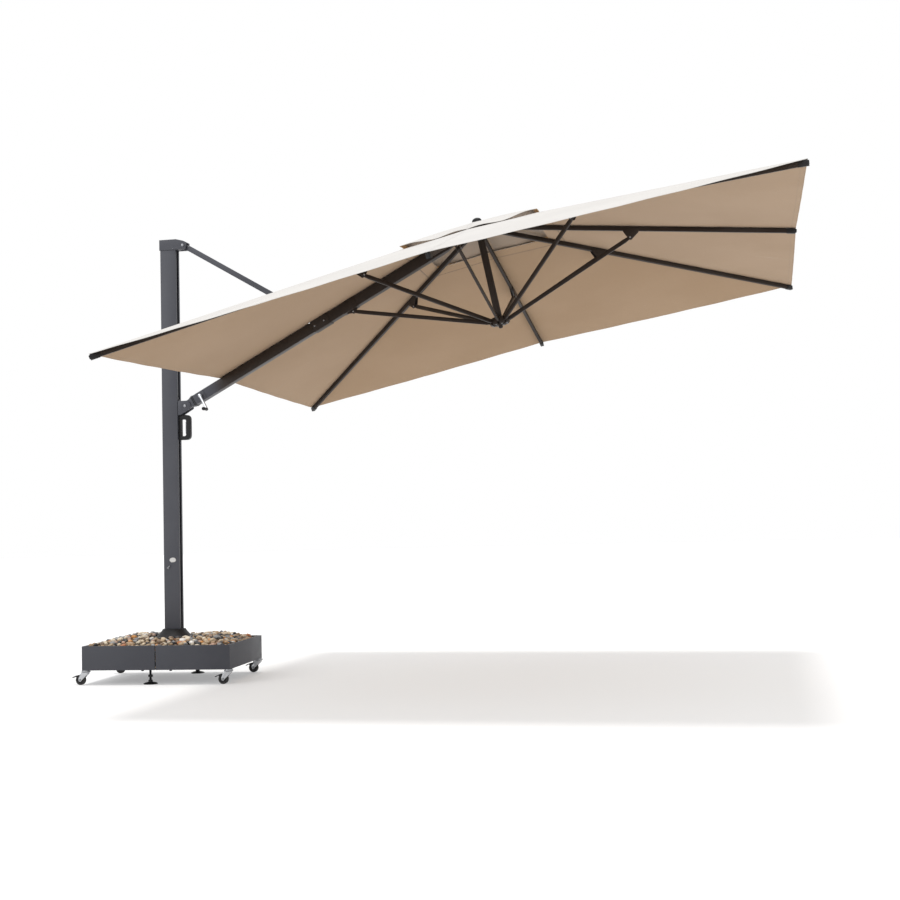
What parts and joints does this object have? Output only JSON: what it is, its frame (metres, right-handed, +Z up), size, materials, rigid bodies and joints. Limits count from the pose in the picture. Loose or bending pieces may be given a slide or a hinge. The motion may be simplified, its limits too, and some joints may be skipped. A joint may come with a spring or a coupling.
{
  "type": "cantilever patio umbrella",
  "caption": "Square cantilever patio umbrella: tilting boom on a slotted post, folding ribs, vented canopy, and a pebble-filled split base on casters.",
  "frame": {"origin": "middle of the whole object's box in plan, on the floor", "axes": "+X from the post along the boom towards the canopy, +Y to the left of the boom seen from the post, +Z up"},
  "size_m": [4.1242, 3.36, 2.5775],
  "materials": {
    "tray_steel": "satin powder coat, slate grey",
    "frame_steel": "matt black powder coat",
    "zinc_steel": "zinc plated",
    "pebbles": "polished mixed river pebbles",
    "chrome": "polished chrome",
    "wheel_rubber": "matt",
    "black_plastic": "fine grain",
    "grey_aluminium": "satin powder coat, slate grey",
    "bronze_aluminium": "satin powder coat, dark bronze",
    "canopy_fabric": "woven, ivory outside and tan inside"
  },
  "bodies": {
    "base": {"tray_left": "tray_steel", "tray_right": "tray_steel", "cross_frame": "frame_steel", "spindle": "zinc_steel", "pebble_fill": "pebbles"},
    "caster_near_left": {"caster_fork_near_left": "chrome"},
    "wheel_near_left": {"caster_wheel_near_left": "wheel_rubber"},
    "brake_near_left": {"caster_brake_near_left": "black_plastic"},
    "caster_near_right": {"caster_fork_near_right": "chrome"},
    "wheel_near_right": {"caster_wheel_near_right": "wheel_rubber"},
    "brake_near_right": {"caster_brake_near_right": "black_plastic"},
    "caster_far_right": {"caster_fork_far_right": "chrome"},
    "wheel_far_right": {"caster_wheel_far_right": "wheel_rubber"},
    "brake_far_right": {"caster_brake_far_right": "black_plastic"},
    "caster_far_left": {"caster_fork_far_left": "chrome"},
    "wheel_far_left": {"caster_wheel_far_left": "wheel_rubber"},
    "brake_far_left": {"caster_brake_far_left": "black_plastic"},
    "foot_near": {"levelling_foot_near": "black_plastic"},
    "foot_far": {"levelling_foot_far": "black_plastic"},
    "mast": {"post_tube": "grey_aluminium", "post_foot": "zinc_steel", "post_skirt": "black_plastic", "post_cap": "grey_aluminium", "strut_pin": "zinc_steel"},
    "pedal": {"swivel_pedal": "black_plastic"},
    "strut": {"strut": "grey_aluminium"},
    "boom": {"boom_knuckle": "grey_aluminium", "boom_lower_tube": "grey_aluminium", "boom_collar": "bronze_aluminium", "boom_upper_tube": "bronze_aluminium", "boom_end": "bronze_aluminium", "boom_bracket": "bronze_aluminium"},
    "slider": {"slider_carriage": "grey_aluminium", "slider_pin": "zinc_steel", "lift_handle": "black_plastic"},
    "trigger": {"release_trigger": "zinc_steel"},
    "crank": {"crank_arm": "chrome", "cord_spool": "black_plastic"},
    "knob": {"crank_knob": "black_plastic"},
    "hub": {"top_hub": "bronze_aluminium", "finial": "black_plastic", "canopy": "canopy_fabric", "vent_canopy": "canopy_fabric"},
    "brace_boom": {"brace_boom": "bronze_aluminium"},
    "lower_hub": {"lower_hub": "bronze_aluminium", "centre_tube": "bronze_aluminium"},
    "rib_outer": {"rib_outer": "bronze_aluminium"},
    "brace_outer": {"brace_outer": "bronze_aluminium"},
    "rib_outer_far": {"rib_outer_far": "bronze_aluminium"},
    "brace_outer_far": {"brace_outer_far": "bronze_aluminium"},
    "rib_far": {"rib_far": "bronze_aluminium"},
    "brace_far": {"brace_far": "bronze_aluminium"},
    "rib_inner_far": {"rib_inner_far": "bronze_aluminium"},
    "brace_inner_far": {"brace_inner_far": "bronze_aluminium"},
    "rib_inner_near": {"rib_inner_near": "bronze_aluminium"},
    "brace_inner_near": {"brace_inner_near": "bronze_aluminium"},
    "rib_near": {"rib_near": "bronze_aluminium"},
    "brace_near": {"brace_near": "bronze_aluminium"},
    "rib_outer_near": {"rib_outer_near": "bronze_aluminium"},
    "brace_outer_near": {"brace_outer_near": "bronze_aluminium"}
  },
  "joints": [
    {"name": "caster_swivel_near_left", "type": "hinge", "parent": "base", "child": "caster_near_left", "pos_m": [-1.93744, -0.3357, 0], "axis": [0, 0, 1], "continuous": true},
    {"name": "wheel_spin_near_left", "type": "hinge", "parent": "caster_near_left", "child": "wheel_near_left", "pos_m": [-1.96734, -0.33806, 0.028], "axis": [-0.0785, 0.9969, 0], "continuous": true},
    {"name": "brake_press_near_left", "type": "hinge", "parent": "caster_near_left", "child": "brake_near_left", "pos_m": [-1.97931, -0.339, 0.048], "axis": [-0.0785, 0.9969, 0], "range_deg": [-14, 0]},
    {"name": "caster_swivel_near_right", "type": "hinge", "parent": "base", "child": "caster_near_right", "pos_m": [-1.108, -0.27042, 0], "axis": [0, 0, 1], "continuous": true},
    {"name": "wheel_spin_near_right", "type": "hinge", "parent": "caster_near_right", "child": "wheel_near_right", "pos_m": [-1.13791, -0.27278, 0.028], "axis": [-0.0785, 0.9969, 0], "continuous": true},
    {"name": "brake_press_near_right", "type": "hinge", "parent": "caster_near_right", "child": "brake_near_right", "pos_m": [-1.14987, -0.27372, 0.048], "axis": [-0.0785, 0.9969, 0], "range_deg": [-14, 0]},
    {"name": "caster_swivel_far_right", "type": "hinge", "parent": "base", "child": "caster_far_right", "pos_m": [-1.1557, 0.3357, 0], "axis": [0, 0, 1], "continuous": true},
    {"name": "wheel_spin_far_right", "type": "hinge", "parent": "caster_far_right", "child": "wheel_far_right", "pos_m": [-1.18561, 0.33335, 0.028], "axis": [-0.0785, 0.9969, 0], "continuous": true},
    {"name": "brake_press_far_right", "type": "hinge", "parent": "caster_far_right", "child": "brake_far_right", "pos_m": [-1.19758, 0.33241, 0.048], "axis": [-0.0785, 0.9969, 0], "range_deg": [-14, 0]},
    {"name": "caster_swivel_far_left", "type": "hinge", "parent": "base", "child": "caster_far_left", "pos_m": [-1.98514, 0.27042, 0], "axis": [0, 0, 1], "continuous": true},
    {"name": "wheel_spin_far_left", "type": "hinge", "parent": "caster_far_left", "child": "wheel_far_left", "pos_m": [-2.01505, 0.26807, 0.028], "axis": [-0.0785, 0.9969, 0], "continuous": true},
    {"name": "brake_press_far_left", "type": "hinge", "parent": "caster_far_left", "child": "brake_far_left", "pos_m": [-2.02701, 0.26713, 0.048], "axis": [-0.0785, 0.9969, 0], "range_deg": [-14, 0]},
    {"name": "foot_screw_near", "type": "slide", "parent": "base", "child": "foot_near", "axis": [0, 0, 1], "range_m": [0, 0.025]},
    {"name": "foot_screw_far", "type": "slide", "parent": "base", "child": "foot_far", "axis": [0, 0, 1], "range_m": [0, 0.025]},
    {"name": "post_turn", "type": "hinge", "parent": "base", "child": "mast", "pos_m": [-1.54657, 0, 0], "axis": [0, 0, 1], "continuous": true},
    {"name": "pedal_press", "type": "hinge", "parent": "mast", "child": "pedal", "pos_m": [-1.63957, 0, 0.2317], "axis": [0, 1, 0], "range_deg": [-6, 0]},
    {"name": "strut_swing", "type": "hinge", "parent": "mast", "child": "strut", "pos_m": [-1.45157, 0, 2.53081], "axis": [0, 1, 0], "range_deg": [-12, 45]},
    {"name": "boom_pivot", "type": "hinge", "parent": "strut", "child": "boom", "pos_m": [-0.6545, 0, 2.05761], "axis": [0, 1, 0], "range_deg": [-90.1, 24.1]},
    {"name": "slider_pivot", "type": "hinge", "parent": "boom", "child": "slider", "pos_m": [-1.45157, 0, 1.5844], "axis": [0, 1, 0], "range_deg": [-12.1, 45.1]},
    {"name": "trigger_squeeze", "type": "slide", "parent": "slider", "child": "trigger", "axis": [1, 0, 0], "range_m": [0, 0.005], "stiffness_N_per_m": 600, "springref_m": -0.004},
    {"name": "crank_turn", "type": "hinge", "parent": "boom", "child": "crank", "pos_m": [-1.35101, 0, 1.6381], "axis": [0, 1, 0], "range_deg": [-3450.1, 0.1]},
    {"name": "knob_spin", "type": "hinge", "parent": "crank", "child": "knob", "pos_m": [-1.30767, 0, 1.55694], "axis": [0, 1, 0], "continuous": true},
    {"name": "canopy_fold", "type": "hinge", "parent": "boom", "child": "hub", "pos_m": [0.26981, 0, 2.50353], "axis": [0, 1, 0], "range_deg": [0, 69], "deforming": ["canopy", "vent_canopy"]},
    {"name": "boom_brace_fold", "type": "hinge", "parent": "boom", "child": "brace_boom", "pos_m": [-0.42522, 0, 2.08756], "axis": [0, 1, 0], "range_deg": [-0.1, 138.1]},
    {"name": "lower_hub_turn", "type": "hinge", "parent": "brace_boom", "child": "lower_hub", "pos_m": [0.37709, 0, 1.97623], "axis": [0, 1, 0], "range_deg": [-69.1, 0.1]},
    {"name": "rib_fold_outer", "type": "hinge", "parent": "hub", "child": "rib_outer", "pos_m": [0.35996, 0, 2.52187], "axis": [0, 1, 0], "range_deg": [-0.1, 69.1]},
    {"name": "brace_fold_outer", "type": "hinge", "parent": "rib_outer", "child": "brace_outer", "pos_m": [1.16228, 0, 2.41054], "axis": [0, 1, 0], "range_deg": [-138.1, 0.1]},
    {"name": "rib_fold_outer_far", "type": "hinge", "parent": "hub", "child": "rib_outer_far", "pos_m": [0.34676, 0.03253, 2.51919], "axis": [-0.6929, 0.7071, -0.141], "range_deg": [-0.1, 72.9]},
    {"name": "brace_fold_outer_far", "type": "hinge", "parent": "rib_outer_far", "child": "brace_outer_far", "pos_m": [0.91777, 0.57149, 2.41599], "axis": [-0.6929, 0.7071, -0.141], "range_deg": [-138.6, 0.1]},
    {"name": "rib_fold_far", "type": "hinge", "parent": "hub", "child": "rib_far", "pos_m": [0.31489, 0.046, 2.5127], "axis": [-0.9799, 0, -0.1994], "range_deg": [-0.1, 69.1]},
    {"name": "brace_fold_far", "type": "hinge", "parent": "rib_far", "child": "brace_far", "pos_m": [0.36853, 0.81001, 2.24905], "axis": [-0.9799, 0, -0.1994], "range_deg": [-138.1, 0.1]},
    {"name": "rib_fold_inner_far", "type": "hinge", "parent": "hub", "child": "rib_inner_far", "pos_m": [0.28302, 0.03253, 2.50622], "axis": [-0.6929, -0.7071, -0.141], "range_deg": [-0.1, 72.9]},
    {"name": "brace_fold_inner_far", "type": "hinge", "parent": "rib_inner_far", "child": "brace_inner_far", "pos_m": [-0.20228, 0.57149, 2.18811], "axis": [-0.6929, -0.7071, -0.141], "range_deg": [-138.6, 0.1]},
    {"name": "rib_fold_inner_near", "type": "hinge", "parent": "hub", "child": "rib_inner_near", "pos_m": [0.28302, -0.03253, 2.50622], "axis": [0.6929, -0.7071, 0.141], "range_deg": [-0.1, 72.9]},
    {"name": "brace_fold_inner_near", "type": "hinge", "parent": "rib_inner_near", "child": "brace_inner_near", "pos_m": [-0.20228, -0.57149, 2.18811], "axis": [0.6929, -0.7071, 0.141], "range_deg": [-138.6, 0.1]},
    {"name": "rib_fold_near", "type": "hinge", "parent": "hub", "child": "rib_near", "pos_m": [0.31489, -0.046, 2.5127], "axis": [0.9799, 0, 0.1994], "range_deg": [-0.1, 69.1]},
    {"name": "brace_fold_near", "type": "hinge", "parent": "rib_near", "child": "brace_near", "pos_m": [0.36853, -0.81001, 2.24905], "axis": [0.9799, 0, 0.1994], "range_deg": [-138.1, 0.1]},
    {"name": "rib_fold_outer_near", "type": "hinge", "parent": "hub", "child": "rib_outer_near", "pos_m": [0.34676, -0.03253, 2.51919], "axis": [0.6929, 0.7071, 0.141], "range_deg": [-0.1, 72.9]},
    {"name": "brace_fold_outer_near", "type": "hinge", "parent": "rib_outer_near", "child": "brace_outer_near", "pos_m": [0.91777, -0.57149, 2.41599], "axis": [0.6929, 0.7071, 0.141], "range_deg": [-138.6, 0.1]}
  ],
  "couplings": [
    {"joint": "boom_pivot", "follows": "strut_swing", "ratio": -2},
    {"joint": "slider_pivot", "follows": "strut_swing", "ratio": 1},
    {"joint": "crank_turn", "follows": "canopy_fold", "ratio": -50},
    {"joint": "boom_brace_fold", "follows": "canopy_fold", "ratio": 2},
    {"joint": "lower_hub_turn", "follows": "canopy_fold", "ratio": -1},
    {"joint": "rib_fold_outer", "follows": "canopy_fold", "ratio": 1},
    {"joint": "brace_fold_outer", "follows": "canopy_fold", "ratio": -2},
    {"joint": "rib_fold_outer_far", "follows": "canopy_fold", "ratio": 1.0558},
    {"joint": "brace_fold_outer_far", "follows": "canopy_fold", "ratio": -2.0078},
    {"joint": "rib_fold_far", "follows": "canopy_fold", "ratio": 1},
    {"joint": "brace_fold_far", "follows": "canopy_fold", "ratio": -2},
    {"joint": "rib_fold_inner_far", "follows": "canopy_fold", "ratio": 1.0558},
    {"joint": "brace_fold_inner_far", "follows": "canopy_fold", "ratio": -2.0078},
    {"joint": "rib_fold_inner_near", "follows": "canopy_fold", "ratio": 1.0558},
    {"joint": "brace_fold_inner_near", "follows": "canopy_fold", "ratio": -2.0078},
    {"joint": "rib_fold_near", "follows": "canopy_fold", "ratio": 1},
    {"joint": "brace_fold_near", "follows": "canopy_fold", "ratio": -2},
    {"joint": "rib_fold_outer_near", "follows": "canopy_fold", "ratio": 1.0558},
    {"joint": "brace_fold_outer_near", "follows": "canopy_fold", "ratio": -2.0078}
  ]
}
